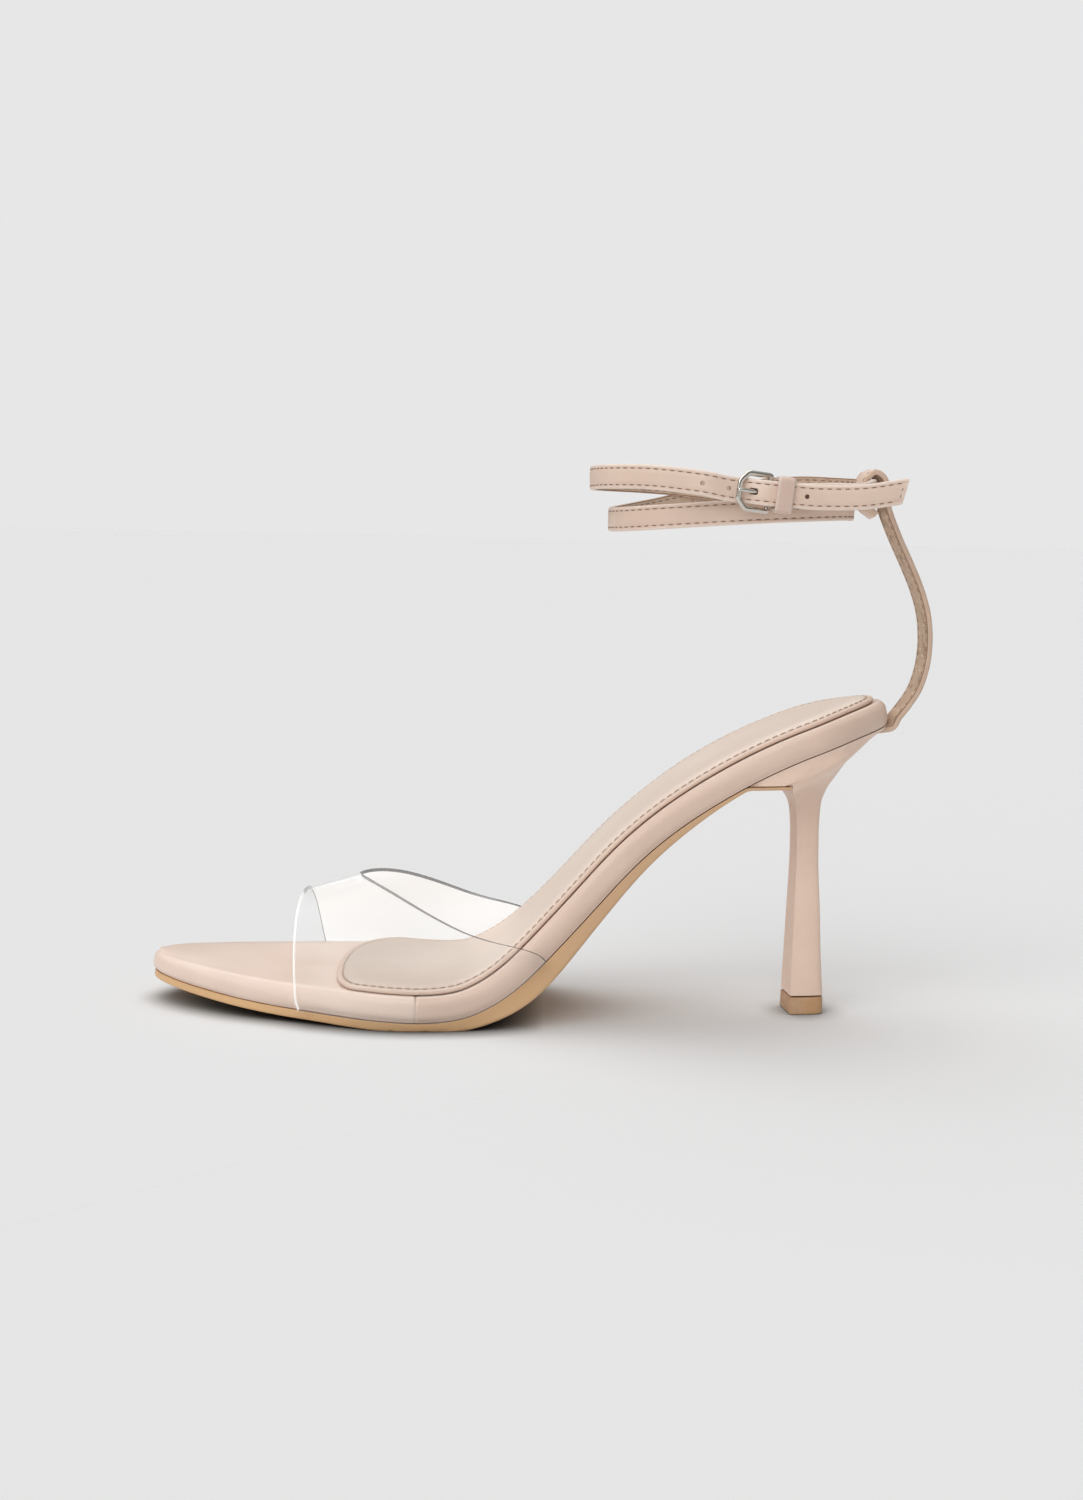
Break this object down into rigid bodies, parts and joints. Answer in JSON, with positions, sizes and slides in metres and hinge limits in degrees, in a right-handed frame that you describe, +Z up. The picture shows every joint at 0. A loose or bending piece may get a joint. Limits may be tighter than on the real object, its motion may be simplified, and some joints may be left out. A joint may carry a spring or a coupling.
{
  "type": "strappy heeled sandal",
  "caption": "Open high heeled sandal with a clear arched vamp, pointed wrapped platform, padded sock, slim flared heel, back strap and buckled wraparound ankle strap.",
  "frame": {"origin": "centre of the heel tip's lower face, on the floor", "axes": "-X towards the toe, +X towards the back of the heel, -Y towards the buckle and the outer side of the foot, +Z up"},
  "size_m": [0.2316, 0.0769, 0.1629],
  "materials": {
    "outsole": "smooth tan sole with a satin sheen",
    "insole_board": "pressed board, hidden by the covers",
    "toe_cover": "smooth pale blush leather",
    "rand": "soft blush leather, lightly puffed",
    "sock_pad": "matt cream leather over foam",
    "vamp": "clear flexible sheet with polished edges",
    "heel": "blush leather stretched over a moulded heel",
    "heel_tip": "tan wear resistant top lift",
    "straps": "blush leather with a tan lining, small stitches at both edges",
    "buckle": "polished silver"
  },
  "bodies": {
    "root": {"outsole": "outsole", "insole_board": "insole_board", "toe_cover": "toe_cover", "rand": "rand", "sock_pad": "sock_pad", "vamp": "vamp", "heel": "heel", "heel_tip": "heel_tip", "counter_strap": "straps", "ankle_strap": "straps", "keeper_loop": "straps", "buckle_frame": "buckle", "buckle_prong": "buckle"}
  },
  "joints": []
}
